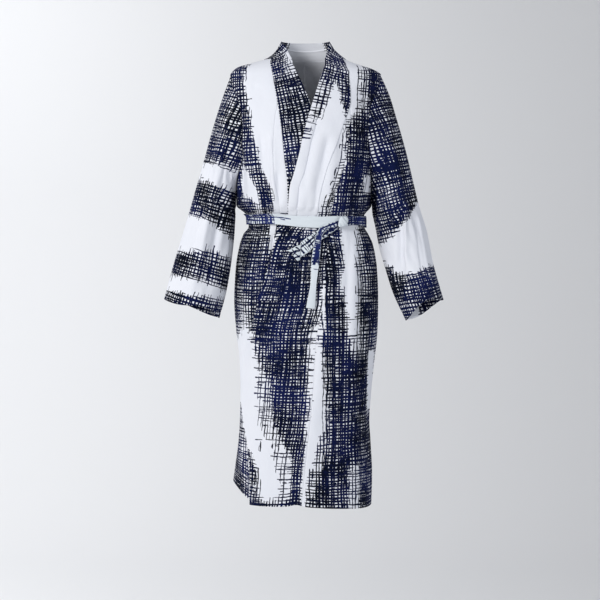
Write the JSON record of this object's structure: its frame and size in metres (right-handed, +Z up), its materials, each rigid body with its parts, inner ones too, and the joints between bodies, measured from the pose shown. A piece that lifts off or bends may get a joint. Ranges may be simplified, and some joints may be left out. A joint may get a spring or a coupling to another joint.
{
  "type": "cotton yukata robe",
  "caption": "Full-length wrap robe in printed cotton with a crossed collar band, straight sleeves and a tied belt, in its worn shape and hollow.",
  "frame": {"origin": "between the shoulders at the base of the neck, where the robe hangs from its wearer", "axes": "+Z up, -Y out of the front, +X towards the wearer's left"},
  "size_m": [0.709, 0.3417, 1.1996],
  "materials": {
    "printed_cotton": "matt plain-weave cotton, white with a brushed navy lattice",
    "belt_cotton": "matt plain-weave cotton, white with a brushed navy lattice"
  },
  "bodies": {
    "root": {"front_right": "printed_cotton", "front_left": "printed_cotton", "okumi_right": "printed_cotton", "okumi_left": "printed_cotton", "back_right": "printed_cotton", "back_left": "printed_cotton", "collar": "printed_cotton", "sleeve_right": "printed_cotton", "sleeve_left": "printed_cotton", "belt_band": "belt_cotton", "belt_knot": "belt_cotton", "belt_tail_short": "belt_cotton", "belt_tail_long": "belt_cotton"}
  },
  "joints": []
}
